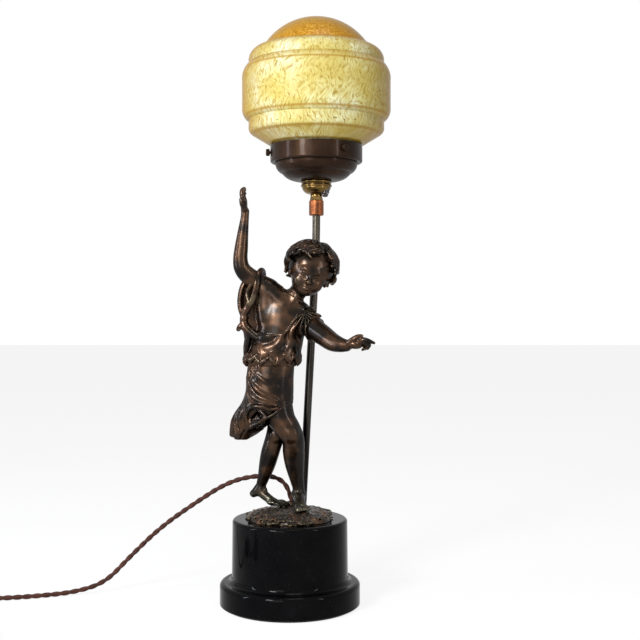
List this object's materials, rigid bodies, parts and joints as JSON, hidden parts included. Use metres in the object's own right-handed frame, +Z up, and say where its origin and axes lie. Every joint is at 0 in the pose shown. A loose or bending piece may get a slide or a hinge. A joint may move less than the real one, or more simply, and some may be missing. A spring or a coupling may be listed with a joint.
{
  "type": "figural table lamp",
  "caption": "Table lamp: stepped mottled glass globe on a slim stem behind a cast dancing child, on a polished black stone drum base, with a fabric flex and plug.",
  "frame": {"origin": "centre of the base's underside", "axes": "+Z up, -Y towards someone who faces the figure, +X to their right"},
  "size_m": [0.4842, 0.2719, 0.5923],
  "materials": {
    "felt": "felt",
    "marble": "polished",
    "steel": "machined",
    "bronze": "dark bronze patina, rubbed",
    "stem_metal": "toned, satin",
    "copper": "satin",
    "brass": "aged, polished",
    "bakelite": "moulded",
    "porcelain": "glazed",
    "gallery_bronze": "lacquered dark bronze",
    "shade_glass": "mottled, polished",
    "bulb_glass": "opal",
    "flex": "twisted, braided",
    "plug_plastic": "moulded"
  },
  "bodies": {
    "lamp": {"felt_pad": "felt", "base_plinth": "marble", "base_drum": "marble", "ground_mound": "bronze", "tie_rod": "steel", "tie_washer": "steel", "tie_nut": "steel", "stem_tube": "stem_metal", "stem_nut": "brass", "copper_sleeve": "copper", "holder_nipple": "brass", "holder_locknut": "brass", "holder_cup": "brass", "switch_body": "bakelite", "holder_barrel": "brass", "holder_rim": "brass", "shade_ring_lower": "brass", "shade_ring_upper": "brass", "contact_block": "porcelain", "contact_plungers": "brass", "shade_gallery": "gallery_bronze", "flex_bush": "brass", "inner_flex": "flex", "plug_case": "plug_plastic", "plug_cover": "plug_plastic", "plug_pins": "brass", "plug_screw": "brass", "plug_grip": "plug_plastic", "figure_stud": "steel", "flex_run": "flex", "flex_coil": "flex", "flex_tail": "flex", "figure_bodice": "bronze", "figure_skirt": "bronze", "figure_head": "bronze", "figure_right_arm": "bronze", "figure_left_arm": "bronze", "figure_shoulder_drape": "bronze", "figure_left_leg": "bronze", "figure_right_leg": "bronze"},
    "globe": {"glass_shade": "shade_glass"},
    "bulb": {"bulb_cap": "brass", "bulb_glass": "bulb_glass"},
    "switch": {"switch_knob": "bakelite"},
    "screw_1": {"thumbscrew_1": "gallery_bronze"},
    "screw_2": {"thumbscrew_2": "gallery_bronze"},
    "screw_3": {"thumbscrew_3": "gallery_bronze"}
  },
  "joints": [
    {"name": "globe_lift", "type": "slide", "parent": "lamp", "child": "globe", "axis": [0, 0, 1], "range_m": [0, 0.09]},
    {"name": "bulb_out", "type": "slide", "parent": "lamp", "child": "bulb", "axis": [0, 0, 1], "range_m": [0, 0.03]},
    {"name": "screw_1_out", "type": "slide", "parent": "lamp", "child": "screw_1", "axis": [0.5807, -0.8141, 0], "range_m": [0, 0.0018]},
    {"name": "screw_2_out", "type": "slide", "parent": "lamp", "child": "screw_2", "axis": [0.4147, 0.91, 0], "range_m": [0, 0.0018]},
    {"name": "screw_3_out", "type": "slide", "parent": "lamp", "child": "screw_3", "axis": [-0.9954, -0.0958, 0], "range_m": [0, 0.0018]},
    {"name": "switch_turn", "type": "hinge", "parent": "lamp", "child": "switch", "pos_m": [0.03531, 0.01901, 0.4105], "axis": [0, 0, 1], "range_deg": [0, 90]}
  ]
}
